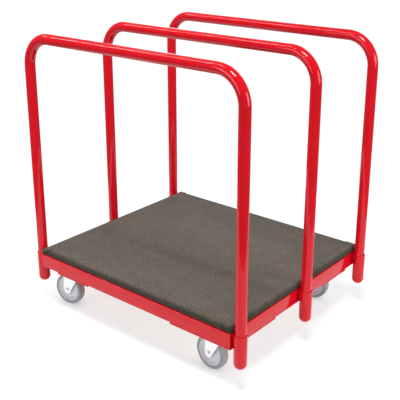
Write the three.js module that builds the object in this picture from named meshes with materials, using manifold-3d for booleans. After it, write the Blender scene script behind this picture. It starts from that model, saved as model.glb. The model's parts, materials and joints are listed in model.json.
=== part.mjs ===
// A carpeted panel dolly: a square-cornered angle-iron frame on four swivel casters, with three
// lift-out tube hoops that stand in sockets on the two ends. Millimetres, +Z up, origin on the
// floor under the middle of the deck, +X along the hoops, -Y towards the front.
import * as THREE from "three";
import { mergeVertices } from "three/addons/utils/BufferGeometryUtils.js";
import Module from "manifold-3d";

const wasm = await Module();
wasm.setup();

// ---- driving dimensions ----
const GAP = 0.3; // clearance between pieces that touch

const FRAME_LENGTH = 914.4;
const FRAME_WIDTH = 812.8;
const ANGLE_LEG = 50.8;
const ANGLE_WALL = 4.8;

const MOUNT_HEIGHT = 158.75; // floor to the underside of the corner plates
const PLATE_SIDE = 254;
const PLATE_CLIP = 88; // leg of the one clipped corner of each plate
const PLATE_THICKNESS = 6.35;

const BRACE_LEG = 38.1;

const BOARD_THICKNESS = 15.9;
const CARPET_THICKNESS = 3.5;
const CARPET_INSET = 5; // frame's outer face to the widest part of the carpet
const CARPET_EDGE_RADIUS = 9;
const CARPET_CORNER_RADIUS = 12;
const CARPET_TURN_UNDER = 30;

const SOCKET_RADIUS = 22.225;
const SOCKET_WALL = 2.1;
const SOCKET_DROP = 3.2; // rim below the top of the rails
const SOCKET_TUBE_LENGTH = 101.1;
const CAP_WALL = 2.1;
const CAP_SPIGOT_HEIGHT = 10;
const CAP_SPIGOT_WALL = 3;

const HOOP_RADIUS = 19.05;
const HOOP_WALL = 2;
const HOOP_BEND = 104; // centreline radius
const HOOP_TOP = 1066.8; // floor to the top of the hoops
const HOOP_PITCH = 381;

const CASTER_X = 355; // kingpins from the middle of the deck
const CASTER_Y = 324;
const SWIVEL_OFFSET = 36; // kingpin to axle, level
const WHEEL_RADIUS = 62.5;
const WHEEL_WIDTH = 32;

const TOP_PLATE = { length: 92, width: 67, thickness: 3, corner: 6 };
const UPPER_RACE = { inner: 12, outer: 25.5, depth: 4.9 };
const CROWN = { radius: 27, rimHeight: 4.5, raceOuter: 24.5, raceInner: 14, neck: 11, wall: 3, depth: 12.4 };
const KINGPIN = { radius: 6.2, headRadius: 9.5, headHeight: 5, chamfer: 2 };
const FORK = { wall: 2.5, inside: 38, eye: 15, slope: 0.6, shoulder: 20, drop: 26 };
const AXLE = { radius: 4, acrossFlats: 13, headHeight: 5.3, nutHeight: 6.5, thread: 10 };
const BUSHING_WALL = 2;
const HUB = { radius: 48.5, half: 14.5, rim: 4, step: 2, webHalf: 11.5, boss: 13, fillet: 2, bossHalf: 17.5 };
const TYRE = { shoulder: 4, bulge: 1, roll: 2.5, tread: 7 };
const RIVET_CLEARANCE = 0.8;
const SINK = 1; // how far joined shapes run into each other

// Each caster's corner, and how far its rolling direction is turned from the X axis at rest.
const CASTERS = [
  { name: "front_right", x: 1, y: -1, turn: -4.5, clipOutside: false },
  { name: "front_left", x: -1, y: -1, turn: 9, clipOutside: true },
  { name: "rear_right", x: 1, y: 1, turn: 7, clipOutside: true },
  { name: "rear_left", x: -1, y: 1, turn: 3, clipOutside: false },
];
const ENDS = [
  { name: "left", x: -1 },
  { name: "right", x: 1 },
];
const ROWS = [
  { name: "front", y: -HOOP_PITCH },
  { name: "middle", y: 0 },
  { name: "back", y: HOOP_PITCH },
];

// ---- heights worked out from the stack ----
const plateTop = MOUNT_HEIGHT + PLATE_THICKNESS;
const railBottom = plateTop + GAP;
const railTop = railBottom + ANGLE_LEG;
const carpetBottom = railTop + GAP;
const boardBottom = carpetBottom + CARPET_THICKNESS + GAP;
const boardTop = boardBottom + BOARD_THICKNESS;
const deckTop = boardTop + GAP + CARPET_THICKNESS;
const rim = railTop - SOCKET_DROP;
const tubeBottom = rim - SOCKET_TUBE_LENGTH;
const legBottom = tubeBottom + CAP_SPIGOT_HEIGHT + GAP;
const socketX = FRAME_LENGTH / 2 + GAP + SOCKET_RADIUS;
const topPlateTop = MOUNT_HEIGHT - GAP;
const topPlateBottom = topPlateTop - TOP_PLATE.thickness;
const raceBottom = topPlateBottom - UPPER_RACE.depth;
const crownBottom = topPlateBottom - CROWN.depth;
const crownTop = crownBottom + CROWN.wall;

// ---- materials ----
function finish(color, roughness, metalness) {
  return new THREE.MeshStandardMaterial({ color, roughness, metalness });
}

const redPaint = finish(0xd81422, 0.3, 0);
const carpet = finish(0x6e655c, 1, 0);
const plywood = finish(0xc09a68, 0.8, 0);
const zinc = finish(0xe2e4e6, 0.3, 0.9);
const hubPlastic = finish(0xc9ccd2, 0.5, 0);
const tyreRubber = finish(0x84868a, 0.7, 0);

// ---- joining and cutting ----
function solidOf(geometry) {
  const bare = geometry.index ? geometry.toNonIndexed() : geometry.clone();
  bare.deleteAttribute("normal");
  bare.deleteAttribute("uv");
  const merged = mergeVertices(bare, 1e-3);
  return new wasm.Manifold(
    new wasm.Mesh({
      numProp: 3,
      vertProperties: merged.attributes.position.array,
      triVerts: new Uint32Array(merged.index.array),
    }),
  );
}

function geometryOf(solid) {
  const mesh = solid.getMesh();
  return new THREE.BufferGeometry()
    .setAttribute("position", new THREE.BufferAttribute(mesh.vertProperties, 3))
    .setIndex(new THREE.BufferAttribute(mesh.triVerts, 1));
}

function join(first, ...rest) {
  return geometryOf(rest.reduce((sum, geometry) => sum.add(solidOf(geometry)), solidOf(first)));
}

function cut(first, ...rest) {
  return geometryOf(rest.reduce((left, geometry) => left.subtract(solidOf(geometry)), solidOf(first)));
}

// ---- shapes ----
function box(x0, x1, y0, y1, z0, z1) {
  const geometry = new THREE.BoxGeometry(x1 - x0, y1 - y0, z1 - z0);
  return geometry.translate((x0 + x1) / 2, (y0 + y1) / 2, (z0 + z1) / 2);
}

// A closed [radius, height] profile turned about Z.
function turned(profile, sides) {
  const points = profile.map(([radius, height]) => new THREE.Vector2(radius, height));
  return new THREE.LatheGeometry([...points, points[0]], sides).rotateX(Math.PI / 2);
}

// A closed profile that starts and ends on the axis, turned about Z.
function turnedSolid(profile, sides) {
  const points = profile.map(([radius, height]) => new THREE.Vector2(radius, height));
  return new THREE.LatheGeometry(points, sides).rotateX(Math.PI / 2);
}

// A flat shape extruded upwards from the height z.
function upright(shape, height, z, curveSegments = 12) {
  const settings = { depth: height, bevelEnabled: false, curveSegments };
  return new THREE.ExtrudeGeometry(shape, settings).translate(0, 0, z);
}

function circle(radius, x = 0, y = 0) {
  return new THREE.Path().absarc(x, y, radius, 0, 2 * Math.PI, true);
}

function hexagon(acrossFlats) {
  const radius = acrossFlats / Math.sqrt(3);
  const corners = Array.from({ length: 6 }, (_, i) => (i * Math.PI) / 3);
  return new THREE.Shape(corners.map((a) => new THREE.Vector2(radius * Math.cos(a), radius * Math.sin(a))));
}

function roundedRectangle(length, width, radius) {
  const [x, y] = [length / 2 - radius, width / 2 - radius];
  return new THREE.Shape()
    .absarc(x, y, radius, 0, Math.PI / 2)
    .absarc(-x, y, radius, Math.PI / 2, Math.PI)
    .absarc(-x, -y, radius, Math.PI, 1.5 * Math.PI)
    .absarc(x, -y, radius, 1.5 * Math.PI, 2 * Math.PI);
}

// ---- frame ----
// An angle-iron rail along X with its flange on top, pointing to +Y, and mitred ends.
function railGeometry(length) {
  const section = new THREE.Shape([
    new THREE.Vector2(0, 0),
    new THREE.Vector2(ANGLE_WALL, 0),
    new THREE.Vector2(ANGLE_WALL, ANGLE_LEG - ANGLE_WALL),
    new THREE.Vector2(ANGLE_LEG, ANGLE_LEG - ANGLE_WALL),
    new THREE.Vector2(ANGLE_LEG, ANGLE_LEG),
    new THREE.Vector2(0, ANGLE_LEG),
  ]);
  const rail = new THREE.ExtrudeGeometry(section, { depth: 1, bevelEnabled: false });
  const at = rail.attributes.position;
  for (let i = 0; i < at.count; i++) {
    const [inward, height] = [at.getX(i), at.getY(i)];
    const side = at.getZ(i) > 0 ? 1 : -1;
    at.setXYZ(i, side * (length / 2 - inward - GAP / 2), inward, height);
  }
  return rail;
}

function rails() {
  const long = railGeometry(FRAME_LENGTH);
  const short = railGeometry(FRAME_WIDTH);
  const places = [
    ["front_rail", long, FRAME_WIDTH / 2, 0],
    ["right_rail", short, FRAME_LENGTH / 2, 1],
    ["back_rail", long, FRAME_WIDTH / 2, 2],
    ["left_rail", short, FRAME_LENGTH / 2, 3],
  ];
  return places.map(([name, geometry, outward, quarterTurns]) => {
    const rail = named(name, geometry.clone().translate(0, -outward, railBottom), redPaint);
    rail.rotation.z = (quarterTurns * Math.PI) / 2;
    return rail;
  });
}

// The brace under the board ties the two end rails together between the middle sockets.
function centreBrace() {
  const reach = FRAME_LENGTH / 2 - ANGLE_WALL - GAP;
  const top = railTop - ANGLE_WALL - GAP;
  return named(
    "centre_brace",
    join(
      box(-reach, reach, -BRACE_LEG / 2, BRACE_LEG / 2, top - ANGLE_WALL, top),
      box(-reach, reach, -BRACE_LEG / 2, -BRACE_LEG / 2 + ANGLE_WALL, top - BRACE_LEG, top),
    ),
    redPaint,
  );
}

// A square plate with one clipped corner, which is outermost at two of the four corners.
function cornerPlate({ name, x, y, clipOutside }) {
  const [near, far] = [0, PLATE_SIDE];
  const outline = clipOutside
    ? [[PLATE_CLIP, near], [far, near], [far, far], [near, far], [near, PLATE_CLIP]]
    : [[near, near], [far, near], [far, far - PLATE_CLIP], [far - PLATE_CLIP, far], [near, far]];
  const shape = new THREE.Shape(
    outline.map(([inX, inY]) => new THREE.Vector2(x * (FRAME_LENGTH / 2 - inX), y * (FRAME_WIDTH / 2 - inY))),
  );
  return named(name + "_corner_plate", upright(shape, PLATE_THICKNESS, MOUNT_HEIGHT), redPaint);
}

// ---- deck ----
const deckLength = FRAME_LENGTH - 2 * CARPET_INSET;
const deckWidth = FRAME_WIDTH - 2 * CARPET_INSET;
const boardLength = deckLength - 2 * (CARPET_THICKNESS + GAP);
const boardWidth = deckWidth - 2 * (CARPET_THICKNESS + GAP);

function deckBoard() {
  const outline = roundedRectangle(boardLength, boardWidth, CARPET_CORNER_RADIUS - CARPET_THICKNESS);
  const edge = CARPET_EDGE_RADIUS - CARPET_THICKNESS;
  return named("deck_board", softened(outline, boardBottom, boardTop, edge), plywood);
}

// A plate between two heights whose top and bottom edges are both rounded inside its outline.
function softened(outline, bottom, top, edge) {
  return new THREE.ExtrudeGeometry(outline, {
    depth: top - bottom - 2 * edge,
    bevelSize: edge,
    bevelThickness: edge,
    bevelOffset: -edge,
    bevelSegments: 2,
    curveSegments: 2,
  }).translate(0, 0, bottom + edge);
}

// The carpet covers the top, wraps round the edges and turns under the board by a narrow margin.
function deckCarpet() {
  const outside = softened(
    roundedRectangle(deckLength, deckWidth, CARPET_CORNER_RADIUS),
    carpetBottom,
    deckTop,
    CARPET_EDGE_RADIUS,
  );
  const inside = softened(
    roundedRectangle(boardLength + 2 * GAP, boardWidth + 2 * GAP, CARPET_CORNER_RADIUS - CARPET_THICKNESS),
    boardBottom - GAP,
    boardTop + GAP,
    CARPET_EDGE_RADIUS - CARPET_THICKNESS,
  );
  const underside = box(
    -deckLength / 2 + CARPET_TURN_UNDER,
    deckLength / 2 - CARPET_TURN_UNDER,
    -deckWidth / 2 + CARPET_TURN_UNDER,
    deckWidth / 2 - CARPET_TURN_UNDER,
    carpetBottom - SINK,
    boardBottom + SINK,
  );
  return named("deck_carpet", cut(outside, inside, underside), carpet);
}

// ---- sockets and hoops ----
function socket(end, row) {
  const inner = SOCKET_RADIUS - SOCKET_WALL;
  const bottom = tubeBottom + GAP;
  const profile = [[inner, bottom], [SOCKET_RADIUS, bottom], [SOCKET_RADIUS, rim], [inner, rim]];
  const tube = named(`${row.name}_${end.name}_socket`, turned(profile, 16), redPaint);
  tube.position.set(end.x * socketX, row.y, 0);
  return tube;
}

// Points of a quarter circle from the lowest point of a dome out to its edge.
function domeArc(radius) {
  const steps = 4;
  return Array.from({ length: steps + 1 }, (_, i) => {
    const angle = (i / steps) * (Math.PI / 2);
    return [radius * Math.sin(angle), tubeBottom - radius * Math.cos(angle)];
  });
}

// A domed cap whose spigot stands inside the tube and carries the hoop's leg.
function socketCap(end, row) {
  const outer = SOCKET_RADIUS - SOCKET_WALL - GAP;
  const inner = outer - CAP_SPIGOT_WALL;
  const spigotTop = tubeBottom + CAP_SPIGOT_HEIGHT;
  const spigot = [[outer, tubeBottom], [outer, spigotTop], [inner, spigotTop]];
  const outside = domeArc(SOCKET_RADIUS);
  const inside = domeArc(SOCKET_RADIUS - CAP_WALL).filter(([radius]) => radius < inner);
  const profile = [...outside, ...spigot, ...inside.reverse()];
  const cap = named(`${row.name}_${end.name}_socket_cap`, turnedSolid(profile, 16), redPaint);
  cap.position.set(end.x * socketX, row.y, 0);
  return cap;
}

// The hoop's centreline: a leg, a quarter bend, the top bar, a quarter bend and the other leg.
class HoopPath extends THREE.Curve {
  constructor(bendSteps) {
    super();
    this.bendSteps = bendSteps;
    this.steps = 2 * bendSteps + 3;
  }

  // Every step is one section of the tube, so that the straight stretches take one step each.
  getUtoTmapping(u) {
    return u;
  }

  place(t) {
    const barZ = HOOP_TOP - HOOP_RADIUS;
    const bendX = socketX - HOOP_BEND;
    const bendZ = barZ - HOOP_BEND;
    const along = Math.min(t, 1 - t) * this.steps; // steps from the nearer leg's end
    const side = t < 0.5 ? -1 : 1;
    if (along <= 1) {
      return { x: side * socketX, z: legBottom + along * (bendZ - legBottom), angle: 0, side };
    }
    if (along <= 1 + this.bendSteps) {
      const angle = ((along - 1) / this.bendSteps) * (Math.PI / 2);
      const x = side * (bendX + HOOP_BEND * Math.cos(angle));
      return { x, z: bendZ + HOOP_BEND * Math.sin(angle), angle, side };
    }
    const half = this.steps / 2;
    const share = (half - along) / (half - 1 - this.bendSteps);
    return { x: side * bendX * share, z: barZ, angle: Math.PI / 2, side };
  }

  getPoint(t) {
    const { x, z } = this.place(t);
    return new THREE.Vector3(x, 0, z);
  }

  getTangent(t) {
    const { angle, side } = this.place(t);
    return new THREE.Vector3(Math.sin(angle), 0, -side * Math.cos(angle));
  }
}

function hoop(row) {
  const section = new THREE.Shape().absarc(0, 0, HOOP_RADIUS, 0, 2 * Math.PI);
  section.holes.push(circle(HOOP_RADIUS - HOOP_WALL));
  const path = new HoopPath(6);
  const settings = { steps: path.steps, extrudePath: path, curveSegments: 8 };
  const mesh = named(`${row.name}_hoop`, new THREE.ExtrudeGeometry(section, settings), redPaint);
  mesh.position.y = row.y;
  return mesh;
}

// ---- casters: the kingpin is on the local Z axis and the wheel trails towards local -X ----
function topPlate(name) {
  const outline = roundedRectangle(TOP_PLATE.length, TOP_PLATE.width, TOP_PLATE.corner);
  outline.holes.push(circle(KINGPIN.radius + RIVET_CLEARANCE));
  const plate = upright(outline, TOP_PLATE.thickness, topPlateBottom, 4);
  const { inner, outer } = UPPER_RACE;
  const low = raceBottom + GAP;
  const high = topPlateBottom + SINK;
  const race = turned([[inner, low], [outer, low], [outer, high], [inner, high]], 16);
  return named(name + "_top_plate", join(plate, race), zinc);
}

// The rivet that holds the fork's crown up to the top plate.
function kingpin(name) {
  const { radius, headRadius, headHeight, chamfer } = KINGPIN;
  const headTop = crownBottom - GAP;
  const headBottom = headTop - headHeight;
  const pinTop = topPlateTop - GAP;
  const profile = [
    [0, headBottom],
    [headRadius - chamfer, headBottom],
    [headRadius, headBottom + chamfer],
    [headRadius, headTop],
    [radius, headTop],
    [radius, pinTop],
    [0, pinTop],
  ];
  return named(name + "_kingpin", turnedSolid(profile, 16), zinc);
}

// One leg of the fork, drawn in the plane of the wheel: an upright trailing edge, an eye round the
// axle, and a leading edge that leans out to the crown.
function forkLeg() {
  const { eye, slope, shoulder, drop, wall } = FORK;
  const lean = Math.atan(slope);
  const leadingX = -SWIVEL_OFFSET + eye * Math.cos(lean);
  const leadingZ = WHEEL_RADIUS - eye * Math.sin(lean);
  const outline = new THREE.Shape()
    .moveTo(leadingX + slope * (crownTop - leadingZ), crownTop)
    .lineTo(-shoulder, crownTop)
    .lineTo(-SWIVEL_OFFSET - eye, crownTop - drop)
    .absarc(-SWIVEL_OFFSET, WHEEL_RADIUS, eye, Math.PI, 2 * Math.PI - lean);
  outline.holes.push(circle(AXLE.radius + GAP, -SWIVEL_OFFSET, WHEEL_RADIUS));
  return upright(outline, wall, 0, 6).rotateX(Math.PI / 2).translate(0, wall / 2, 0);
}

function fork(name) {
  const hole = KINGPIN.radius + GAP;
  const profile = [
    [hole, crownBottom],
    [CROWN.radius, crownBottom],
    [CROWN.radius, crownBottom + CROWN.rimHeight],
    [CROWN.raceOuter, raceBottom],
    [CROWN.raceInner, raceBottom],
    [CROWN.neck, crownTop],
    [hole, crownTop],
  ];
  const sideways = (FORK.inside + FORK.wall) / 2;
  const legs = [-sideways, sideways].map((y) => forkLeg().translate(0, y, 0));
  return named(name + "_fork", join(turned(profile, 16), ...legs), zinc);
}

// Pieces on the axle are turned about Z, laid along local Y, and moved to the wheel's centre.
function onAxle(geometry) {
  return geometry.rotateX(Math.PI / 2).translate(-SWIVEL_OFFSET, 0, WHEEL_RADIUS);
}

const legFace = FORK.inside / 2 + FORK.wall;

function axleBolt(name) {
  const { radius, acrossFlats, headHeight, thread } = AXLE;
  const headBase = legFace + GAP;
  const low = -legFace - thread;
  const high = headBase + SINK;
  const shank = new THREE.CylinderGeometry(radius, radius, high - low, 12).rotateX(Math.PI / 2);
  const head = upright(hexagon(acrossFlats), headHeight, headBase);
  return named(name + "_axle_bolt", onAxle(join(shank.translate(0, 0, (low + high) / 2), head)), zinc);
}

function axleNut(name) {
  const { radius, acrossFlats, nutHeight } = AXLE;
  const shape = hexagon(acrossFlats);
  shape.holes.push(circle(radius + GAP));
  return named(name + "_axle_nut", onAxle(upright(shape, nutHeight, -legFace - GAP - nutHeight)), zinc);
}

function bushing(name) {
  const half = FORK.inside / 2 - GAP;
  const inner = AXLE.radius + GAP;
  const outer = inner + BUSHING_WALL;
  const profile = [[inner, -half], [outer, -half], [outer, half], [inner, half]];
  return named(name + "_axle_bushing", onAxle(turned(profile, 16)), zinc);
}

// A profile's upper half and its mirror image below, as one closed profile turned about the axle.
function mirrored(upperHalf, sides) {
  const lowerHalf = upperHalf.map(([radius, height]) => [radius, -height]).reverse();
  return turned([...lowerHalf, ...upperHalf].reverse(), sides);
}

// The moulded centre: a boss, a web on each side, and a raised rim under the tyre.
function hub(name) {
  const { radius, half, rim, step, webHalf, boss, fillet, bossHalf } = HUB;
  const bore = AXLE.radius + GAP + BUSHING_WALL + GAP;
  const upperHalf = [
    [bore, bossHalf],
    [boss, bossHalf],
    [boss + fillet, webHalf],
    [radius - rim - step, webHalf],
    [radius - rim, half],
    [radius, half],
  ];
  return named(name + "_hub", onAxle(mirrored(upperHalf, 24)), hubPlastic);
}

function tyre(name) {
  const half = WHEEL_WIDTH / 2;
  const upperHalf = [
    [HUB.radius + GAP, half],
    [WHEEL_RADIUS - TYRE.shoulder, half],
    [WHEEL_RADIUS - TYRE.bulge, half - TYRE.roll],
    [WHEEL_RADIUS, half - TYRE.tread],
  ];
  return named(name + "_tyre", onAxle(mirrored(upperHalf, 24)), tyreRubber);
}

function caster({ name, x, y, turn }) {
  const group = new THREE.Group();
  group.position.set(x * CASTER_X, y * CASTER_Y, 0);
  const turning = new THREE.Group();
  turning.rotation.z = THREE.MathUtils.degToRad(turn);
  const swivelling = [kingpin, fork, axleBolt, axleNut, bushing, hub, tyre];
  turning.add(...swivelling.map((piece) => piece(name)));
  group.add(topPlate(name), turning);
  return group;
}

// ---- assembly ----
function named(name, geometry, material) {
  const mesh = new THREE.Mesh(geometry, material);
  mesh.name = name;
  return mesh;
}

const dolly = new THREE.Group();
dolly.add(...rails(), centreBrace(), deckBoard(), deckCarpet());
dolly.add(...CASTERS.map(cornerPlate));
for (const row of ROWS) {
  for (const end of ENDS) dolly.add(socket(end, row), socketCap(end, row));
  dolly.add(hoop(row));
}
dolly.add(...CASTERS.map(caster));

export default dolly;
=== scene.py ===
"""The looks of a carpeted panel dolly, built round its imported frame. Metres, +Z up, -Y to the front.

Every piece takes its place from the frame's own boxes and joints. The sections below hold the
helpers, the materials, one short function per sub-part, and then the stage.
"""

import json
import math
import random

import bmesh
import bpy
import numpy as np
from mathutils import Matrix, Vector, noise


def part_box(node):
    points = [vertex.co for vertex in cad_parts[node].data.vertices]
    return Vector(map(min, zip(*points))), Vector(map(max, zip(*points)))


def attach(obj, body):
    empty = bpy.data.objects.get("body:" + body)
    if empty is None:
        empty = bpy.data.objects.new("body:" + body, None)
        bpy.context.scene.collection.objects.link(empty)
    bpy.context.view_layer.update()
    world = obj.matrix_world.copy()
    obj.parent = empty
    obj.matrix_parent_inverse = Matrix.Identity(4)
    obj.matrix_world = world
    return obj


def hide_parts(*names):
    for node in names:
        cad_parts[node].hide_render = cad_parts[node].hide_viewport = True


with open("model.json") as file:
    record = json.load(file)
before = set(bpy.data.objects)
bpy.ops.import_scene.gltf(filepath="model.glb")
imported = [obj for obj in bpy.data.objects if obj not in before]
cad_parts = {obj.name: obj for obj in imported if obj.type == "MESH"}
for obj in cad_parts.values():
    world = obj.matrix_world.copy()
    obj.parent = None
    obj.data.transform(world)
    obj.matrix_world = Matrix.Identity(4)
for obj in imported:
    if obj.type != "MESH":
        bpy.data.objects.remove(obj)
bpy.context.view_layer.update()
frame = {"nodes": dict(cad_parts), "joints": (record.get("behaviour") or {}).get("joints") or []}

MM = 0.001
CORNERS = ("front_right", "front_left", "rear_right", "rear_left")
ROWS = ("front", "middle", "back")
ENDS = ("left", "right")

# Sizes that the frame's boxes don't give.
GAP = 0.3 * MM
ANGLE_WALL = 4.8 * MM
ANGLE_FILLET = 5 * MM
ANGLE_TOE = 2.2 * MM
ANGLE_HEEL = 0.9 * MM
PLATE_CLIP = 88 * MM
TUBE_RADIUS = 19.05 * MM
TUBE_WALL = 2 * MM
HOOP_BEND = 104 * MM
SOCKET_WALL = 2.1 * MM
CARPET_THICKNESS = 3.4 * MM
CARPET_TOP_RADIUS = 14 * MM
CARPET_LOW_RADIUS = 8 * MM
CARPET_TURN_UNDER = 30 * MM
CARPET_OVERHANG = 4 * MM
PLEAT_LENGTH = 46 * MM
PLEAT_STEP = 2.2 * MM
PLEAT_FADE = 34 * MM

# Sizes of a caster.
CASTER_PLATE = (92 * MM, 67 * MM, 3 * MM)  # length, width, thickness
PLATE_BOLT_X = 38 * MM
PLATE_BOLT_Y = 22 * MM
BOLT_ACROSS = 12.7 * MM
PLATE_WASHER = 1.6 * MM
RACE_DEPTH = 4.9 * MM
CROWN_THICKNESS = 3 * MM
FORK_WALL = 2.5 * MM
FORK_HALF_WIDTH = 21.5 * MM  # outer face of a leg from the wheel's plane
FORK_EYE = 15 * MM
AXLE_ACROSS = 13 * MM
AXLE_WASHER = 1.2 * MM

CLIP_OUTSIDE = ("front_left", "rear_right")


# ---- mesh helpers ----
def about_z(angle):
    """The matrix of a turn about Z."""
    cosine, sine = math.cos(angle), math.sin(angle)
    return np.array([[cosine, -sine, 0], [sine, cosine, 0], [0, 0, 1]])


def faces_between(rows, closed):
    """Faces between neighbouring rows of vertex numbers. A repeated vertex makes a triangle."""
    faces = []
    for low, high in zip(rows, rows[1:]):
        count = len(low) if closed else len(low) - 1
        for i in range(count):
            j = (i + 1) % len(low)
            corners = tuple(dict.fromkeys((low[i], low[j], high[j], high[i])))
            if len(corners) > 2:
                faces.append(corners)
    return faces


def loft(rings, closed=True, cyclic=False, caps=True):
    """A surface through rings of points.

    closed joins each ring's ends, and cyclic joins the last ring to the first.
    """
    rings = np.asarray(rings, float)
    count, size = rings.shape[:2]
    rows = [list(range(k * size, (k + 1) * size)) for k in range(count)]
    faces = faces_between(rows + rows[:1] if cyclic else rows, closed)
    if caps and not cyclic:
        faces.append(tuple(reversed(rows[0])))
        faces.append(tuple(rows[-1]))
    return rings.reshape(-1, 3), faces


def joined(parts):
    """Several (points, faces) as one."""
    points, faces, start = [], [], 0
    for part_points, part_faces in parts:
        points.append(np.asarray(part_points, float))
        faces += [tuple(start + i for i in face) for face in part_faces]
        start += len(part_points)
    return np.concatenate(points), faces


def filleted(corners, closed=True, steps=4):
    """A polyline of (x, y, radius) corners, each one rounded to its radius, as (x, y) points."""
    places = [np.array(corner[:2], float) for corner in corners]
    points = []
    for i, here in enumerate(places):
        radius = corners[i][2]
        at_end = not closed and i in (0, len(places) - 1)
        if radius <= 0 or at_end:
            points.append(here)
            continue
        before = places[i - 1] - here
        after = places[(i + 1) % len(places)] - here
        before_length = np.linalg.norm(before)
        after_length = np.linalg.norm(after)
        before /= before_length
        after /= after_length
        half = math.acos(np.clip(before @ after, -1, 1)) / 2
        reach = min(radius / math.tan(half), 0.49 * before_length, 0.49 * after_length)
        radius = reach * math.tan(half)
        bisector = (before + after) / np.linalg.norm(before + after)
        centre = here + bisector * radius / math.sin(half)
        start = here + before * reach - centre
        end = here + after * reach - centre
        sweep = math.atan2(start[0] * end[1] - start[1] * end[0], start @ end)
        for k in range(steps + 1):
            angle = sweep * k / steps
            points.append(centre + about_z(angle)[:2, :2] @ start)
    return [tuple(point) for point in points]


def turned(profile, sides=64, closed=True):
    """A (radius, height) profile turned about Z: a ring if closed, and otherwise ending on the axis."""
    angles = [2 * math.pi * k / sides for k in range(sides)]
    rings = [[(r * math.cos(a), r * math.sin(a), z) for a in angles] for r, z in profile]
    return loft(rings, cyclic=closed, caps=False)


def moved(part, by):
    points, faces = part
    return points + np.array(by, float), faces


def upside_down(part):
    """A part turned half round about X."""
    points, faces = part
    return points * np.array([1, -1, -1]), faces


def prism(outline, low, high):
    """A flat outline of (x, y) points extruded from one height to another."""
    return loft([[(x, y, low) for x, y in outline], [(x, y, high) for x, y in outline]])


def hexagon_head(across, height, base=0.0, sides=72):
    """A bolt head on Z with its top corners chamfered, as a bolt's are."""
    flat = across / 2
    top = 0.94 * flat
    chamfer_slope = 0.58
    rings = [[] for _ in range(4)]
    for k in range(sides):
        angle = 2 * math.pi * k / sides
        radius = flat / math.cos((angle + math.pi / 6) % (math.pi / 3) - math.pi / 6)
        drop = (radius - top) * chamfer_slope
        profile = ((radius, 0), (radius, height - drop), (top, height), (0, height))
        for ring, (r, z) in zip(rings, profile):
            ring.append((r * math.cos(angle), r * math.sin(angle), base + z))
    return loft(rings, caps=False)


def screw_end(radius, length, base, pitch=1.25 * MM):
    """A threaded end on Z, with a ridge for each turn and a chamfered tip."""
    profile = [(0, base), (radius, base)]
    turns = max(1, int(length / pitch))
    for k in range(turns):
        at = base + (k + 0.5) * pitch
        profile += [(0.86 * radius, at - 0.25 * pitch), (radius, at + 0.25 * pitch)]
    profile += [(0.8 * radius, base + length), (0, base + length)]
    return turned(profile, sides=32, closed=False)


def smoothstep(value):
    value = np.clip(value, 0, 1)
    return value * value * (3 - 2 * value)


def weld_bead(path, radius, seed):
    """A bead of weld along a path, with the ripples that the puddle leaves."""
    draw = random.Random(seed)
    path = np.asarray(path, float)
    lengths = np.linalg.norm(np.diff(path, axis=0), axis=1)
    along = np.concatenate([[0], np.cumsum(lengths)])
    total = along[-1]
    step = 0.8 * MM
    count = max(6, int(total / step))
    ripple = 3.4 * MM
    phase = draw.random() * 2 * math.pi
    rings = []
    for k in range(count + 1):
        s = total * k / count
        centre = np.array([np.interp(s, along, path[:, axis]) for axis in range(3)])
        ahead = np.array([np.interp(min(s + step, total), along, path[:, axis]) for axis in range(3)])
        behind = np.array([np.interp(max(s - step, 0), along, path[:, axis]) for axis in range(3)])
        tangent = (ahead - behind) / np.linalg.norm(ahead - behind)
        side = np.cross(tangent, (0.3, 0.5, 0.81))
        side /= np.linalg.norm(side)
        other = np.cross(tangent, side)
        swell = 1 + 0.09 * math.sin(2 * math.pi * s / ripple + phase) + 0.05 * (draw.random() - 0.5)
        taper = math.sqrt(max(0.02, 1 - max(0, 1 - min(s, total - s) / radius) ** 2))
        size = radius * swell * taper
        rings.append([centre + size * (math.cos(a) * side + math.sin(a) * other)
                      for a in np.linspace(0, 2 * math.pi, 12, endpoint=False)])
    return loft(rings)


def piece(name, parts, material, body, replaced=(), bevel=0.0, sharp=38):
    """One object from a list of (points, faces), riding on a body and standing for the replaced nodes."""
    points, faces = joined(parts)
    mesh = bpy.data.meshes.new(name)
    mesh.from_pydata([tuple(point) for point in points], [], faces)
    clean = bmesh.new()
    clean.from_mesh(mesh)
    bmesh.ops.remove_doubles(clean, verts=clean.verts, dist=1e-6)
    bmesh.ops.recalc_face_normals(clean, faces=clean.faces)
    clean.to_mesh(mesh)
    clean.free()
    mesh.shade_smooth()
    mesh.materials.append(material)
    made = bpy.data.objects.new(name, mesh)
    bpy.context.scene.collection.objects.link(made)
    if bevel:
        edge = made.modifiers.new("edges", "BEVEL")
        edge.width = bevel
        edge.segments = 3
        edge.limit_method = "ANGLE"
        edge.angle_limit = math.radians(35)
        edge.harden_normals = True
    else:
        mesh.set_sharp_from_angle(angle=math.radians(sharp))
    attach(made, body)
    if replaced:
        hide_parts(*replaced)
    return made


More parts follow.
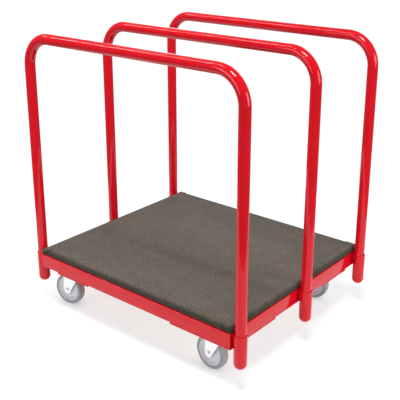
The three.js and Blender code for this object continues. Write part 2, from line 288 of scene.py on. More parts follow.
# ---- materials ----
class Finish:
    """A node material under construction: its shader, and short calls for the nodes that feed it."""

    def __init__(self, name, **numbers):
        self.material = bpy.data.materials.new(name)
        self.material.use_nodes = True
        self.nodes = self.material.node_tree.nodes
        self.links = self.material.node_tree.links
        self.shader = self.nodes["Principled BSDF"]
        for socket, value in numbers.items():
            self.shader.inputs[socket.replace("_", " ")].default_value = value
        self.place = self.nodes.new("ShaderNodeTexCoord").outputs["Object"]

    def noise(self, scale, detail=2.0, roughness=0.5, place=None):
        node = self.nodes.new("ShaderNodeTexNoise")
        node.inputs["Scale"].default_value = scale
        node.inputs["Detail"].default_value = detail
        node.inputs["Roughness"].default_value = roughness
        self.links.new(place or self.place, node.inputs["Vector"])
        return node.outputs["Fac"]

    def cells(self, scale):
        node = self.nodes.new("ShaderNodeTexVoronoi")
        node.inputs["Scale"].default_value = scale
        self.links.new(self.place, node.inputs["Vector"])
        return node.outputs["Distance"]

    def stretched(self, scale):
        node = self.nodes.new("ShaderNodeMapping")
        node.inputs["Scale"].default_value = scale
        self.links.new(self.place, node.inputs["Vector"])
        return node.outputs["Vector"]

    def ramp(self, value, stops):
        """Colours, each (position, colour), chosen by a value."""
        node = self.nodes.new("ShaderNodeValToRGB")
        elements = node.color_ramp.elements
        for element, (position, colour) in zip(elements, stops):
            element.position = position
            element.color = (*colour, 1)
        for position, colour in stops[2:]:
            elements.new(position).color = (*colour, 1)
        self.links.new(value, node.inputs["Fac"])
        return node.outputs["Color"]

    def spread(self, value, low, high, start=0.3, end=0.7):
        """A value from start to end, mapped to low to high."""
        node = self.nodes.new("ShaderNodeMapRange")
        for socket, number in (("From Min", start), ("From Max", end), ("To Min", low), ("To Max", high)):
            node.inputs[socket].default_value = number
        self.links.new(value, node.inputs["Value"])
        return node.outputs["Result"]

    def times(self, first, second):
        """One colour multiplied by another."""
        node = self.nodes.new("ShaderNodeMix")
        node.data_type = "RGBA"
        node.blend_type = "MULTIPLY"
        node.inputs["Factor"].default_value = 1.0
        self.links.new(first, node.inputs["A"])
        self.links.new(second, node.inputs["B"])
        return node.outputs["Result"]

    def bump(self, height, distance, strength=1.0, under=None):
        node = self.nodes.new("ShaderNodeBump")
        node.inputs["Strength"].default_value = strength
        node.inputs["Distance"].default_value = distance
        self.links.new(height, node.inputs["Height"])
        if under is not None:
            self.links.new(under, node.inputs["Normal"])
        return node.outputs["Normal"]

    def feed(self, **sockets):
        for socket, output in sockets.items():
            self.links.new(output, self.shader.inputs[socket.replace("_", " ")])
        return self.material


def red_powder_coat():
    """Glossy red powder coat, with orange peel and slight unevenness in its film."""
    finish = Finish("red_powder_coat")
    finish.shader.inputs["Specular IOR Level"].default_value = 0.35
    cloudy = finish.noise(7, 3)
    return finish.feed(
        Base_Color=finish.ramp(cloudy, [(0.3, (0.57, 0.0015, 0.008)), (0.7, (0.62, 0.0025, 0.011))]),
        Roughness=finish.spread(finish.noise(38, 2), 0.055, 0.085),
        Normal=finish.bump(finish.noise(420, 1.5), 0.05 * MM, 0.25),
    )


def charcoal_carpet():
    """Needle-punched carpet: brown fibres matted into tufts, with painted shade that darkens it where it
    bends over the edge.
    """
    finish = Finish("charcoal_carpet", Roughness=1.0, Sheen_Weight=0.12, Sheen_Roughness=0.6)
    finish.shader.inputs["Specular IOR Level"].default_value = 0.1
    fibres = finish.ramp(
        finish.noise(430, 3, 0.7),
        [(0.36, (0.038, 0.032, 0.024)), (0.64, (0.255, 0.216, 0.172)), (0.5, (0.122, 0.103, 0.081))],
    )
    tufts = finish.ramp(finish.noise(150, 3, 0.7), [(0.36, (0.50, 0.49, 0.47)), (0.64, (1, 1, 1))])
    worn = finish.ramp(finish.noise(22, 4, 0.7), [(0.36, (0.84, 0.83, 0.79)), (0.64, (1, 1, 1))])
    colour = finish.times(finish.times(fibres, tufts), worn)
    # Painted shade: the colour darkens as the surface turns away from facing up, so the carpet's sides
    # over the edge look shaded.
    upward = finish.nodes.new("ShaderNodeSeparateXYZ")
    finish.links.new(finish.nodes.new("ShaderNodeNewGeometry").outputs["Normal"], upward.inputs["Vector"])
    painted_side_shade = finish.ramp(
        finish.spread(upward.outputs["Z"], 0.0, 1.0, 0.45, 0.99),
        [(0.0, (0.36, 0.36, 0.29)), (1.0, (1, 1, 1))],
    )
    pile = finish.bump(finish.noise(430, 3, 0.65), 1.1 * MM, 0.7)
    return finish.feed(
        Base_Color=finish.times(colour, painted_side_shade),
        Normal=finish.bump(finish.cells(260), 0.9 * MM, 0.45, pile),
    )


def birch_plywood():
    """Plywood with long grain along X and darker plies on its cut edges."""
    finish = Finish("birch_plywood", Roughness=0.75)
    grain = finish.noise(1, 5, 0.6, finish.stretched((3, 60, 60)))
    plies = finish.noise(1, 1, 0.5, finish.stretched((0.5, 0.5, 420)))
    face = finish.ramp(grain, [(0.3, (0.42, 0.27, 0.14)), (0.7, (0.63, 0.46, 0.28))])
    edge = finish.ramp(plies, [(0.4, (0.62, 0.55, 0.48)), (0.6, (1, 1, 1))])
    return finish.feed(
        Base_Color=finish.times(face, edge),
        Normal=finish.bump(grain, 0.2 * MM, 0.4),
    )


def bright_zinc(name="bright_zinc", dark=0.80, light=0.90, rough=0.38):
    """Bright zinc plate: a pale metal with faint clouding and rolling marks."""
    finish = Finish(name, Metallic=1.0)
    cloudy = finish.noise(60, 4, 0.6)
    stops = [(0.3, (dark, dark, dark * 1.005)), (0.7, (light, light, light * 1.01))]
    return finish.feed(
        Base_Color=finish.ramp(cloudy, stops),
        Roughness=finish.spread(cloudy, rough, rough + 0.1),
        Normal=finish.bump(finish.noise(900, 2), 0.03 * MM, 0.4),
    )


def wheel_centre_plastic():
    """Pale blue-gray moulded plastic with a fine satin texture."""
    finish = Finish("wheel_centre_plastic")
    cloudy = finish.noise(45, 3)
    return finish.feed(
        Base_Color=finish.ramp(cloudy, [(0.3, (0.56, 0.58, 0.62)), (0.7, (0.62, 0.64, 0.68))]),
        Roughness=finish.spread(cloudy, 0.32, 0.42),
        Normal=finish.bump(finish.noise(1400, 1), 0.03 * MM, 0.4),
    )


def gray_rubber():
    """Gray non-marking rubber, duller where dust has settled into it."""
    finish = Finish("gray_rubber")
    dusty = finish.noise(50, 4, 0.65)
    return finish.feed(
        Base_Color=finish.ramp(dusty, [(0.3, (0.235, 0.24, 0.245)), (0.7, (0.295, 0.30, 0.305))]),
        Roughness=finish.spread(dusty, 0.5, 0.68),
        Normal=finish.bump(finish.noise(1100, 2), 0.06 * MM, 0.5),
    )


def bearing_grease():
    """The dark grease between the races."""
    finish = Finish("bearing_grease", Base_Color=(0.02, 0.018, 0.015, 1))
    return finish.feed(
        Roughness=finish.spread(finish.noise(300, 2), 0.3, 0.5),
        Normal=finish.bump(finish.noise(500, 2), 0.2 * MM, 0.5),
    )


RED = red_powder_coat()
CARPET = charcoal_carpet()
PLYWOOD = birch_plywood()
ZINC = bright_zinc()
STEEL = bright_zinc("dull_zinc", 0.5, 0.62, 0.38)
HUB = wheel_centre_plastic()
RUBBER = gray_rubber()
GREASE = bearing_grease()


# ---- frame ----
def turned_about_z(points, quarter_turns):
    return np.asarray(points) @ about_z(quarter_turns * math.pi / 2).T


def angle_section(leg, wall):
    """Hot-rolled angle as (inward, upward) points: its flange is on top and its heel is outside."""
    return filleted([
        (0, 0, ANGLE_HEEL),
        (wall, 0, ANGLE_TOE),
        (wall, leg - wall, ANGLE_FILLET),
        (leg, leg - wall, ANGLE_TOE),
        (leg, leg, ANGLE_HEEL),
        (0, leg, ANGLE_HEEL),
    ])


def rails():
    low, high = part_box("front_rail")
    leg = high.z - low.z
    section = angle_section(leg, ANGLE_WALL)
    frame_length = high.x - low.x + GAP
    side_low, side_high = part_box("right_rail")
    frame_width = side_high.y - side_low.y + GAP
    for quarter, (name, length, outward) in enumerate((
        ("front_rail", frame_length, frame_width / 2),
        ("right_rail", frame_width, frame_length / 2),
        ("back_rail", frame_length, frame_width / 2),
        ("left_rail", frame_width, frame_length / 2),
    )):
        rings = [
            [
                (end * (length / 2 - inward - GAP / 2), inward - outward, low.z + up)
                for inward, up in section
            ]
            for end in (-1, 1)
        ]
        points, faces = loft(rings)
        bar = turned_about_z(points, quarter)
        piece(name + "_bar", [(bar, faces)], RED, "chassis", (name,))


def centre_brace():
    low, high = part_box("centre_brace")
    leg = high.z - low.z
    section = angle_section(leg, ANGLE_WALL)
    rings = [[(x, low.y + inward, low.z + up) for inward, up in section] for x in (low.x, high.x)]
    piece("centre_brace_bar", [loft(rings)], RED, "chassis", ("centre_brace",))
    beads = []
    for end in (-1, 1):
        x = end * (high.x - 1 * MM)
        up_leg = [(x, low.y + 2 * MM, high.z - leg), (x, low.y - 1 * MM, high.z - 4 * MM)]
        along_flange = [(x, low.y + 4 * MM, high.z - 6 * MM), (x, high.y, high.z - 6 * MM)]
        beads.append(weld_bead(up_leg, 2.4 * MM, seed=5))
        beads.append(weld_bead(along_flange, 2.2 * MM, seed=6))
    piece("centre_brace_welds", beads, RED, "chassis")


def corner_plates():
    for corner in CORNERS:
        node = corner + "_corner_plate"
        low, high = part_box(node)
        x_side = 1 if low.x > 0 else -1
        y_side = 1 if low.y > 0 else -1
        far = high.x - low.x
        clip = PLATE_CLIP
        if corner in CLIP_OUTSIDE:
            outline = [(clip, 0), (far, 0), (far, far), (0, far), (0, clip)]
        else:
            outline = [(0, 0), (far, 0), (far, far - clip), (far - clip, far), (0, far)]
        outer_x = max(abs(low.x), abs(high.x))
        outer_y = max(abs(low.y), abs(high.y))
        placed = [(x_side * (outer_x - x), y_side * (outer_y - y)) for x, y in outline]
        plate = prism(placed, low.z, high.z)
        piece(node + "_steel", [plate], RED, "chassis", (node,), bevel=0.7 * MM)
        # Stitch welds along the inside of both rails, where the plate meets their upright legs.
        beads = []
        stitch = 38 * MM
        for k, start in enumerate((100 * MM, 190 * MM)):
            inside = ANGLE_WALL + 1.6 * MM
            z = high.z + 1.3 * MM
            for flip in (False, True):
                ends = [(start, inside), (start + stitch, inside)]
                ends = [(b, a) if flip else (a, b) for a, b in ends]
                path = [(x_side * (outer_x - a), y_side * (outer_y - b), z) for a, b in ends]
                beads.append(weld_bead(path, 2.6 * MM, 10 + k))
        piece(corner + "_plate_welds", beads, RED, "chassis")


# ---- deck ----
def deck_board():
    node = frame["nodes"]["deck_board"]
    node.data.materials.clear()
    node.data.materials.append(PLYWOOD)


def edge_profile(height, turn_under):
    """The carpet's way over the board's edge, as (outward, upward) points from where it starts to bend."""
    top = CARPET_TOP_RADIUS
    low = CARPET_LOW_RADIUS
    points = [(0, height)]
    for k in range(1, 9):
        angle = k / 8 * math.pi / 2
        points.append((top * math.sin(angle), height - top + top * math.cos(angle)))
    middle = (height - top + low) / 2
    points.append((top + 0.5 * MM, middle))
    for k in range(0, 7):
        angle = k / 6 * math.pi / 2
        points.append((top - low + low * math.cos(angle), low - low * math.sin(angle)))
    steps = 5
    for k in range(1, steps + 1):
        points.append((top - low - (turn_under - low) * k / steps, 0))
    return points


def finer_at_ends(reach):
    """Steps from -reach to reach that are finer near both ends, where the corners' pleats are."""
    fine = np.arange(0, PLEAT_LENGTH + 10 * MM, 2 * MM)
    middle = reach - fine[-1]
    coarse = np.linspace(-middle, middle, int(2 * middle / (6 * MM)) + 1)
    return np.concatenate([-reach + fine[:-1], coarse, reach - fine[-2::-1]])


def deck_carpet():
    """One cut of carpet stretched over the board: a fine grid on top, and rings round the edges."""
    low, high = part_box("deck_carpet")
    low -= Vector((CARPET_OVERHANG, CARPET_OVERHANG, 0))
    high += Vector((CARPET_OVERHANG, CARPET_OVERHANG, 0))
    xs = finer_at_ends((high.x - low.x) / 2 - CARPET_TOP_RADIUS)
    ys = finer_at_ends((high.y - low.y) / 2 - CARPET_TOP_RADIUS)
    count_x = len(xs) - 1
    count_y = len(ys) - 1
    height = high.z - low.z
    points = [(x, y, low.z + height) for y in ys for x in xs]

    def number(i, j):
        """The vertex at a place in the top's grid."""
        return j * (count_x + 1) + i

    faces = []
    for j in range(count_y):
        for i in range(count_x):
            faces.append((number(i, j), number(i + 1, j), number(i + 1, j + 1), number(i, j + 1)))
    corner_steps = 8
    border = []  # (vertex of the top's border, outward direction), anticlockwise
    sides = (
        ([number(i, 0) for i in range(count_x + 1)], -90),
        ([number(count_x, j) for j in range(count_y + 1)], 0),
        ([number(i, count_y) for i in range(count_x, -1, -1)], 90),
        ([number(0, j) for j in range(count_y, -1, -1)], 180),
    )
    for vertices, facing in sides:
        for vertex in vertices:
            border.append((vertex, facing))
        for k in range(1, corner_steps):
            border.append((vertices[-1], facing + 90 * k / corner_steps))
    rows = [[vertex for vertex, _ in border]]
    for outward, up in edge_profile(height, CARPET_TURN_UNDER)[1:]:
        row = []
        for vertex, facing in border:
            x, y, _ = points[vertex]
            angle = math.radians(facing)
            # A negative reach runs back under the board, square to the edge, and stops short at a corner.
            inward_x = math.copysign(1, math.cos(angle)) if abs(math.cos(angle)) > 1e-6 else 0
            inward_y = math.copysign(1, math.sin(angle)) if abs(math.sin(angle)) > 1e-6 else 0
            # A fourth-power corner is tighter than a round one, as a folded corner is.
            tight = (math.cos(angle) ** 4 + math.sin(angle) ** 4) ** -0.25
            reach = (inward_x, inward_y)
            if outward > 0:
                reach = (math.cos(angle) * tight, math.sin(angle) * tight)
            row.append(len(points))
            points.append((x + outward * reach[0], y + outward * reach[1], low.z + up))
        rows.append(row)
    faces += faces_between(rows, closed=True)
    points = rumpled(np.array(points), low, high)
    made = piece("deck_carpet_cloth", [(points, faces)], CARPET, "chassis", ("deck_carpet",),
                 sharp=180)
    cloth = made.modifiers.new("cloth", "SOLIDIFY")
    cloth.thickness = CARPET_THICKNESS
    cloth.offset = -1


def pleated(points, low, high):
    """Each corner's surplus, folded over the front or back edge along a slanting line."""
    inner_low = np.array([low.x, low.y, low.z]) + CARPET_TOP_RADIUS
    inner_high = np.array([high.x, high.y, high.z]) - CARPET_TOP_RADIUS
    inner_low[2] = inner_high[2] = (low.z + high.z) / 2
    outward = points - np.clip(points, inner_low, inner_high)
    outward /= np.maximum(np.linalg.norm(outward, axis=1, keepdims=True), 1e-9)
    depth = high.z - low.z
    from_side = high.x - np.abs(points[:, 0])
    from_end = high.y - np.abs(points[:, 1])
    down = np.clip((high.z - points[:, 2]) / depth, 0, 1)
    beyond = PLEAT_LENGTH * (1 - down) - from_side
    fades = 1 - smoothstep(from_end / PLEAT_FADE)
    # The fold's rolled edge, and the crease that it leaves beside it.
    roll, roll_at, roll_width = 1.2 * MM, 4 * MM, 3 * MM
    crease, crease_at, crease_width = -2.2 * MM, -2 * MM, 2.5 * MM
    rolled = np.exp(-(((beyond - roll_at) / roll_width) ** 2))
    raised = PLEAT_STEP * smoothstep(beyond / roll_width) + roll * rolled
    sunk = crease * np.exp(-(((beyond - crease_at) / crease_width) ** 2))
    above = smoothstep((points[:, 2] - low.z) / (4 * MM))
    return points + outward * ((raised + sunk) * fades * above)[:, None]


def rumpled(points, low, high):
    """The carpet's own unevenness: a slow swell, a fine tufted surface, and a pleat at each corner."""
    draw = np.random.default_rng(7)
    top = points[:, 2] > high.z - 1e-6
    swollen = pleated(points, low, high)
    for i in np.flatnonzero(top):
        x, y, _ = points[i]
        swell = 0.45 * MM * noise.noise(Vector((x * 9, y * 9, 0.5)))
        swell += 0.22 * MM * noise.noise(Vector((x * 60, y * 60, 3.5)))
        swollen[i, 2] += swell - 0.35 * MM
    return swollen + draw.normal(0, 0.07 * MM, points.shape)


# ---- sockets and hoops ----
def sockets():
    for row in ROWS:
        for end in ENDS:
            name = f"{row}_{end}_socket"
            low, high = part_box(name)
            centre = ((low.x + high.x) / 2, (low.y + high.y) / 2, 0)
            outer = (high.x - low.x) / 2
            inner = outer - SOCKET_WALL
            tube = turned(filleted([
                (inner, low.z, 0.2 * MM),
                (outer, low.z, 0.35 * MM),
                (outer, high.z, 0.9 * MM),
                (inner, high.z, 0.6 * MM),
            ]))
            piece(name + "_tube", [moved(tube, centre)], RED, "chassis", (name,))
            socket_cap(name, centre, outer)
            socket_welds(name, centre, outer)


def socket_cap(name, centre, outer):
    """A pressed dome, closed inside by the step that the hoop's leg stands on."""
    low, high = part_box(name + "_cap")
    edge = low.z + outer
    dome = [(outer * math.sin(a), edge - outer * math.cos(a)) for a in np.linspace(0, math.pi / 2, 15)]
    inner = outer - SOCKET_WALL - GAP
    profile = dome + [(outer, edge), (inner, edge + 0.1 * MM), (inner, high.z), (inner - 3 * MM, high.z)]
    profile += [(inner - 3 * MM, edge - 8 * MM), (0, edge - 12 * MM)]
    cap = turned(profile, closed=False)
    piece(name + "_cap_dome", [moved(cap, centre)], RED, "chassis", (name + "_cap",))


def socket_welds(name, centre, outer):
    """Two fillet welds down the tube, where it meets the rail's face."""
    rail_low, rail_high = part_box("right_rail")
    side = 1 if centre[0] > 0 else -1
    across = 8.6 * MM
    gap = outer - math.sqrt(outer**2 - across**2)
    x = side * (rail_high.x + gap / 2 + 0.6 * MM)
    beads = [
        weld_bead([(x, centre[1] + flank * across, rail_low.z + 3 * MM),
                   (x, centre[1] + flank * across, rail_high.z - 6 * MM)], 1.9 * MM, len(name) + flank)
        for flank in (-1, 1)
    ]
    piece(name + "_welds", beads, RED, "chassis")


def hoop_stations(low, high):
    """The hoop's centreline as (x, z, outward angle), from the left leg's foot to the right leg's."""
    leg_x = high.x - TUBE_RADIUS
    bar_z = high.z - TUBE_RADIUS
    bend_x = leg_x - HOOP_BEND
    bend_z = bar_z - HOOP_BEND
    half = [(leg_x, low.z + (bend_z - low.z) * k / 10, 0.0) for k in range(10)]
    for k in range(25):
        angle = k / 24 * math.pi / 2
        half.append((bend_x + HOOP_BEND * math.cos(angle), bend_z + HOOP_BEND * math.sin(angle), angle))
    half += [(bend_x * (1 - k / 8), bar_z, math.pi / 2) for k in range(1, 8)]
    left = [(-x, z, math.pi - angle) for x, z, angle in half]
    middle = [(0.0, bar_z, math.pi / 2)]
    return left + middle + half[::-1]


def hoops():
    sides = 48
    for row in ROWS:
        node = f"{row}_hoop"
        low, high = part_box(node)
        y = (low.y + high.y) / 2
        stations = hoop_stations(low, high)
        outer = []
        for x, z, angle in stations:
            outward = np.array([math.cos(angle), 0, math.sin(angle)])
            # A bent tube flattens a little towards the middle of its bend.
            flat = 0.02 * math.sin(2 * angle) ** 2
            ring = []
            for k in range(sides):
                turn = 2 * math.pi * k / sides
                ring.append(np.array([x, y, z])
                            + outward * TUBE_RADIUS * (1 - flat) * math.cos(turn)
                            + np.array([0, TUBE_RADIUS * (1 + 0.4 * flat) * math.sin(turn), 0]))
            outer.append(ring)
        parts = [loft(outer, caps=False)]
        for x in (low.x + TUBE_RADIUS, high.x - TUBE_RADIUS):
            foot = turned([
                (TUBE_RADIUS, low.z),
                (TUBE_RADIUS - TUBE_WALL, low.z),
                (TUBE_RADIUS - TUBE_WALL, low.z + 40 * MM),
                (0, low.z + 40 * MM),
            ], sides, closed=False)
            parts.append(moved(foot, (x, y, 0)))
        piece(node + "_tube", parts, RED, f"{row}_hoop_body", (node,))


# ---- casters, in a local frame: the kingpin on Z, the axle along Y, the wheel towards -X ----
JOINTS = {joint["name"]: joint for joint in frame["joints"]}


def caster_places():
    """Each caster's name, its kingpin's place, its wheel's offset and height, and its turn about Z."""
    for corner in CORNERS:
        kingpin = Vector(JOINTS[corner + "_swivel"]["pos_m"])
        axle = Vector(JOINTS[corner + "_wheel_spin"]["pos_m"])
        direction = JOINTS[corner + "_wheel_spin"]["axis"]
        turn = math.atan2(-direction[0], direction[1])
        offset = math.hypot(kingpin.x - axle.x, kingpin.y - axle.y)
        yield corner, kingpin, offset, axle.z, turn


def placed(part, kingpin, turn):
    points, faces = part
    return points @ about_z(turn).T + np.array([kingpin.x, kingpin.y, 0]), faces


def on_axle(part, offset, height):
    """A part turned about Z, laid along Y and moved to the wheel's centre."""
    points, faces = part
    laid = np.stack([points[:, 0], -points[:, 2], points[:, 1]], axis=1)
    return laid + np.array([-offset, 0, height]), faces


def rounded_rectangle(length, width, radius):
    x, y = length / 2, width / 2
    return filleted([(x, -y, radius), (x, y, radius), (-x, y, radius), (-x, -y, radius)], steps=6)


def top_plate(plate_low, plate_high, race_low):
    """The mounting plate with its pressed upper race."""
    length, width, _ = CASTER_PLATE
    plate = prism(rounded_rectangle(length, width, 6 * MM), plate_low, plate_high)
    race = turned(filleted([
        (12 * MM, race_low + 0.9 * MM, 0),
        (23 * MM, race_low + 0.9 * MM, 1 * MM),
        (25.5 * MM, race_low + 1.6 * MM, 0.8 * MM),
        (26.5 * MM, plate_low - 0.8 * MM, 1.2 * MM),
        (29 * MM, plate_low + 0.2 * MM, 0),
        (12 * MM, plate_low + 0.2 * MM, 0),
    ]))
    return [plate, race]


def plate_bolts(plate_low, corner_top):
    """Hexagon bolts up through both plates, each with a washer and a nut on top."""
    parts = []
    washer_top = corner_top + PLATE_WASHER
    for x in (-PLATE_BOLT_X, PLATE_BOLT_X):
        for y in (-PLATE_BOLT_Y, PLATE_BOLT_Y):
            head = upside_down(hexagon_head(BOLT_ACROSS, 5 * MM, -plate_low))
            washer = turned(filleted([
                (4 * MM, corner_top, 0),
                (8.5 * MM, corner_top, 0.4 * MM),
                (8.5 * MM, washer_top, 0.4 * MM),
                (4 * MM, washer_top, 0),
            ]), 40)
            nut = hexagon_head(BOLT_ACROSS, 6.5 * MM, washer_top)
            end = screw_end(3.9 * MM, 5 * MM, corner_top + 8 * MM)
            parts += [moved(part, (x, y, 0)) for part in (head, washer, nut, end)]
    return parts


def kingpin_rivet(crown_low):
    profile = filleted([
        (0, crown_low - 5.2 * MM, 0),
        (7 * MM, crown_low - 5.2 * MM, 2.5 * MM),
        (9.5 * MM, crown_low - 2.6 * MM, 1.5 * MM),
        (9.5 * MM, crown_low - 0.3 * MM, 0.3 * MM),
        (6 * MM, crown_low - 0.3 * MM, 0),
        (6 * MM, crown_low + 12 * MM, 0),
        (0, crown_low + 12 * MM, 0),
    ], closed=False)
    return [turned(profile, 48, closed=False)]


def fork_sheet(offset, axle_height, crown_high):
    """The pressed yoke as a sheet: up one leg, round a bend, across the crown, and down the other leg."""
    half = FORK_HALF_WIDTH
    bend = 6 * MM
    eye = FORK_EYE
    slope = 0.6
    lean = math.atan(slope)
    eye_x = -offset + eye * math.cos(lean)
    eye_z = axle_height - eye * math.sin(lean)
    knee_z = crown_high - 10 * MM
    crown_back = -offset - eye + 4 * MM
    top_lead = eye_x + slope * (crown_high - eye_z)

    def span(z):
        """The leg's reach in X at a height."""
        below = math.sqrt(max(0, eye**2 - (axle_height - z) ** 2))
        trail = -offset - (below if z < axle_height else eye)
        if z > knee_z:
            share = smoothstep((z - knee_z) / (crown_high - knee_z))
            trail += (crown_back + offset + eye) * float(share)
        lead = -offset + below if z < eye_z else eye_x + slope * (z - eye_z)
        return trail, lead

    columns = 20
    stations = []  # (y, z) up the leg and over the bend to the middle of the crown
    for k in range(13):
        stations.append((half, axle_height - eye * math.cos(k / 12 * math.pi / 2)))
    for z in np.linspace(axle_height, crown_high - bend, 12)[1:]:
        stations.append((half, z))
    for k in range(1, 7):
        angle = k / 6 * math.pi / 2
        out, up = bend * math.cos(angle), bend * math.sin(angle)
        stations.append((half - bend + out, crown_high - bend + up))
    for y in np.linspace(half - bend, 0, 6)[1:]:
        stations.append((y, crown_high))
    rings = []
    for y, z in stations:
        trail, lead = span(z)
        if z > crown_high - 1e-6:
            # The crown narrows from the legs' width to a rounded plate about the kingpin.
            share = 1 - y / (half - bend)
            trail += (-26 * MM - trail) * math.sqrt(share) * 0.9
            lead += (27 * MM - top_lead) * share
        rings.append([(trail + (lead - trail) * k / columns, y, z) for k in range(columns + 1)])
    mirrored = [[(x, -y, z) for x, y, z in ring] for ring in rings[-2::-1]]
    return loft(rings + mirrored, closed=False, caps=False)


def fork(corner, kingpin, offset, axle_height, turn, crown_low, race_low):
    body = corner + "_swivel_body"
    sheet = fork_sheet(offset, axle_height, crown_low + CROWN_THICKNESS)
    yoke = [placed(sheet, kingpin, turn)]
    made = piece(corner + "_fork_yoke", yoke, ZINC, body, (corner + "_fork",), sharp=180)
    skin = made.modifiers.new("wall", "SOLIDIFY")
    skin.thickness = FORK_WALL
    skin.offset = -1
    edge = made.modifiers.new("edges", "BEVEL")
    edge.width = 0.6 * MM
    edge.segments = 2
    edge.limit_method = "ANGLE"
    edge.angle_limit = math.radians(50)
    race = turned(filleted([
        (7 * MM, crown_low + 2.6 * MM, 0),
        (10 * MM, crown_low + 2.9 * MM, 1 * MM),
        (14 * MM, race_low, 1.2 * MM),
        (22.5 * MM, race_low, 1.5 * MM),
        (25.4 * MM, crown_low + 4.4 * MM, 1 * MM),
        (27 * MM, crown_low + 3 * MM, 0),
        (27 * MM, crown_low + 0.4 * MM, 0.8 * MM),
        (7 * MM, crown_low + 0.4 * MM, 0),
    ]))
    piece(corner + "_fork_race", [placed(race, kingpin, turn)], ZINC, body)
    grease = turned([
        (13 * MM, race_low - 0.2 * MM),
        (22.8 * MM, race_low - 0.2 * MM),
        (22.8 * MM, race_low + 1.2 * MM),
        (13 * MM, race_low + 1.2 * MM),
    ])
    piece(corner + "_race_grease", [placed(grease, kingpin, turn)], GREASE, body)


def axle_pieces(corner, kingpin, offset, height, turn):
    leg_face = FORK_HALF_WIDTH
    body = corner + "_swivel_body"

    def lay(part):
        return placed(on_axle(part, offset, height), kingpin, turn)

    washer_profile = filleted([
        (4.1 * MM, 0, 0),
        (8.2 * MM, 0, 0.3 * MM),
        (8.2 * MM, AXLE_WASHER, 0.5 * MM),
        (4.1 * MM, AXLE_WASHER, 0),
    ])
    head_washer = moved(turned(washer_profile, 40), (0, 0, leg_face))
    head = hexagon_head(AXLE_ACROSS, 4.4 * MM, leg_face + AXLE_WASHER)
    shank = turned([
        (0, -leg_face - 3 * MM),
        (4 * MM, -leg_face - 3 * MM),
        (4 * MM, leg_face + 2 * MM),
        (0, leg_face + 2 * MM),
    ], 32, closed=False)
    thread = upside_down(screw_end(4 * MM, 9.6 * MM, leg_face))
    bolt = [lay(part) for part in (head_washer, head, shank, thread)]
    piece(corner + "_axle_bolt_steel", bolt, ZINC, body, (corner + "_axle_bolt",))
    nut = hexagon_head(AXLE_ACROSS, 5.2 * MM, leg_face + GAP)
    collar = turned(filleted([
        (4.1 * MM, leg_face + 4 * MM, 0),
        (5.6 * MM, leg_face + 4 * MM, 0),
        (5.6 * MM, leg_face + 7 * MM, 0.8 * MM),
        (4.1 * MM, leg_face + 7 * MM, 0.2 * MM),
    ]), 40)
    lock_nut = [lay(upside_down(part)) for part in (nut, collar)]
    piece(corner + "_axle_nut_steel", lock_nut, ZINC, body, (corner + "_axle_nut",))
    half = 18.7 * MM
    sleeve = turned(filleted([
        (4.3 * MM, -half, 0.3 * MM),
        (6.3 * MM, -half, 0.3 * MM),
        (6.3 * MM, half, 0.3 * MM),
        (4.3 * MM, half, 0.3 * MM),
    ]), 40)
    piece(corner + "_axle_sleeve", [lay(sleeve)], STEEL, body, (corner + "_axle_bushing",))


def mirror_profile(upper):
    """A (radius, height) half profile and its mirror image, as one closed profile."""
    return [(r, -z) for r, z in upper[::-1]] + list(upper)


def wheel(corner, kingpin, offset, height, turn):
    body = corner + "_wheel_body"

    def lay(part):
        return placed(on_axle(part, offset, height), kingpin, turn)

    upper = filleted([
        (6.6 * MM, 17.4 * MM, 0.3 * MM),
        (11.5 * MM, 17.4 * MM, 0.8 * MM),
        (13.5 * MM, 11.5 * MM, 2 * MM),
        (20.5 * MM, 10.6 * MM, 1 * MM),
        (21.5 * MM, 12.2 * MM, 0.8 * MM),
        (24.5 * MM, 12.2 * MM, 0.8 * MM),
        (25.5 * MM, 10.2 * MM, 1 * MM),
        (34.0 * MM, 9.8 * MM, 1 * MM),
        (35.2 * MM, 11.8 * MM, 0.8 * MM),
        (37.8 * MM, 11.8 * MM, 0.8 * MM),
        (39.0 * MM, 10.2 * MM, 1 * MM),
        (41.6 * MM, 10.4 * MM, 1.4 * MM),
        (43.6 * MM, 14.6 * MM, 1 * MM),
        (48.5 * MM, 14.6 * MM, 0.4 * MM),
    ], closed=False, steps=3)
    hub = turned(mirror_profile(upper), 96)
    piece(corner + "_hub_moulding", [lay(hub)], HUB, body, (corner + "_hub",))
    tread = filleted([
        (48.8 * MM, 14.8 * MM, 0),
        (50.5 * MM, 15.6 * MM, 1 * MM),
        (58.0 * MM, 15.9 * MM, 3 * MM),
        (61.4 * MM, 11.5 * MM, 4 * MM),
        (62.35 * MM, 5.0 * MM, 6 * MM),
        (62.5 * MM, 0.3 * MM, 0),
    ], closed=False, steps=5)
    tyre = turned(mirror_profile(tread), 96)
    piece(corner + "_tyre_rubber", [lay(tyre)], RUBBER, body, (corner + "_tyre",))


def casters():
    for corner, kingpin, offset, axle_height, turn in caster_places():
        plate_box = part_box(corner + "_corner_plate")
        plate_low = plate_box[0].z - GAP - CASTER_PLATE[2]
        crown_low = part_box(corner + "_kingpin")[0].z + 5 * MM + GAP
        race_low = plate_low - RACE_DEPTH
        plate_and_race = top_plate(plate_low, plate_low + CASTER_PLATE[2], race_low)
        plates = [placed(part, kingpin, 0.0) for part in plate_and_race]
        piece(corner + "_mounting_plate", plates, ZINC, "chassis", (corner + "_top_plate",),
              bevel=0.4 * MM)
        bolts = [placed(part, kingpin, 0.0) for part in plate_bolts(plate_low, plate_box[1].z)]
        piece(corner + "_mounting_bolts", bolts, ZINC, "chassis")
        rivet = [placed(part, kingpin, turn) for part in kingpin_rivet(crown_low)]
        piece(corner + "_kingpin_rivet", rivet, ZINC, "chassis", (corner + "_kingpin",))
        fork(corner, kingpin, offset, axle_height, turn, crown_low, race_low)
        axle_pieces(corner, kingpin, offset, axle_height, turn)
        wheel(corner, kingpin, offset, axle_height, turn)


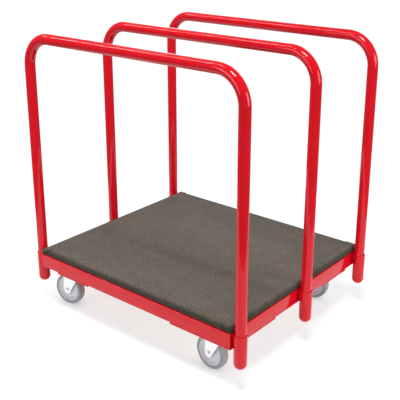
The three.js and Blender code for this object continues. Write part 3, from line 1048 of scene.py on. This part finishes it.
# ---- stage ----
CAMERA_PLACE = (1.7183, -2.0703, 1.4862)
CAMERA_AZIMUTH = 39.74
CAMERA_ELEVATION = 18.42
CAMERA_LENS = 68.6
CAMERA_SHIFT = -0.1
FLOOR_REACH = 1.5
FLOOR_CONTACT = 0.07  # how near a thing must be to dim the floor's glow where it stands, as a painted contact shadow


def camera():
    data = bpy.data.cameras.new("camera")
    data.lens = CAMERA_LENS
    data.sensor_width = 36
    data.shift_y = CAMERA_SHIFT
    made = bpy.data.objects.new("camera", data)
    bpy.context.scene.collection.objects.link(made)
    azimuth, elevation = math.radians(CAMERA_AZIMUTH), math.radians(CAMERA_ELEVATION)
    back = Vector((
        math.sin(azimuth) * math.cos(elevation),
        -math.cos(azimuth) * math.cos(elevation),
        math.sin(elevation),
    ))
    made.location = CAMERA_PLACE
    made.rotation_mode = "QUATERNION"
    made.rotation_quaternion = (-back).to_track_quat("-Z", "Y")
    bpy.context.scene.camera = made


def floor():
    """A pale floor that glows a little, so that the shadow under the deck stays light and neutral."""
    finish = Finish("pale_floor", Roughness=0.9)
    finish.shader.inputs["Specular IOR Level"].default_value = 0.0
    # Painted light: the glow is a little weaker in red, so the red bounce under the deck does not tint the
    # shadow.
    finish.shader.inputs["Emission Color"].default_value = (0.965, 0.99, 1, 1)
    # Painted contact shadow: ambient occlusion dims the glow where things stand close to the floor.
    painted_contact_shadow = finish.nodes.new("ShaderNodeAmbientOcclusion")
    painted_contact_shadow.inputs["Distance"].default_value = FLOOR_CONTACT
    # The floor's colour is a little weaker in red as well, against the same red bounce.
    stops = [(0.3, (0.375, 0.405, 0.405)), (0.7, (0.395, 0.425, 0.425))]
    material = finish.feed(
        Base_Color=finish.ramp(finish.noise(0.8, 2), stops),
        Emission_Strength=finish.spread(painted_contact_shadow.outputs["AO"], 0.34, 0.68, 0.0, 0.92),
    )
    angles = np.linspace(0, 2 * math.pi, 64, endpoint=False)
    rim = [(FLOOR_REACH * math.cos(a), FLOOR_REACH * math.sin(a), 0) for a in angles]
    mesh = bpy.data.meshes.new("floor")
    mesh.from_pydata(rim, [], [tuple(range(len(rim)))])
    mesh.materials.append(material)
    made = bpy.data.objects.new("floor", mesh)
    bpy.context.scene.collection.objects.link(made)


def soft_light(name, place, target, size, watts, width=None):
    """A round light aimed at a target, or a strip across its aim when it has a width as well."""
    data = bpy.data.lights.new(name, "AREA")
    data.shape = "RECTANGLE" if width else "DISK"
    data.size = size
    if width:
        data.size_y = width
    data.energy = watts
    made = bpy.data.objects.new(name, data)
    bpy.context.scene.collection.objects.link(made)
    made.location = place
    made.rotation_mode = "QUATERNION"
    made.rotation_quaternion = (Vector(target) - Vector(place)).to_track_quat("-Z", "Y")


def white_room(seen, cast):
    """A world that the camera sees as white, while it lights the object less."""
    world = bpy.data.worlds.new("studio")
    world.use_nodes = True
    nodes, links = world.node_tree.nodes, world.node_tree.links
    rays = nodes.new("ShaderNodeLightPath")
    strength = nodes.new("ShaderNodeMapRange")
    strength.inputs["To Min"].default_value = cast
    strength.inputs["To Max"].default_value = seen
    links.new(rays.outputs["Is Camera Ray"], strength.inputs["Value"])
    nodes["Background"].inputs["Color"].default_value = (1, 1, 1, 1)
    links.new(strength.outputs["Result"], nodes["Background"].inputs["Strength"])
    bpy.context.scene.world = world


def studio():
    white_room(1.05, 0.28)
    bpy.context.scene.view_settings.view_transform = "Standard"
    soft_light("key", (1.1, -1.3, 4.0), (0, 0, 0.2), 1.1, 96)
    soft_light("bar_highlight", (-1.6, -1.0, 3.0), (-1.6, 0, 1.0), 3.0, 40, width=0.1)
    soft_light("right_fill", (3.9, 0.6, 1.5), (0, 0, 0.4), 2.2, 80)
    soft_light("front_fill", (-1.0, -3.9, 1.5), (0, 0, 0.4), 2.2, 48)
    soft_light("back_fill", (-2.6, 3.4, 2.2), (0, 0, 0.6), 2.2, 45)
    floor()


camera()
rails()
centre_brace()
corner_plates()
deck_board()
deck_carpet()
sockets()
hoops()
casters()
studio()
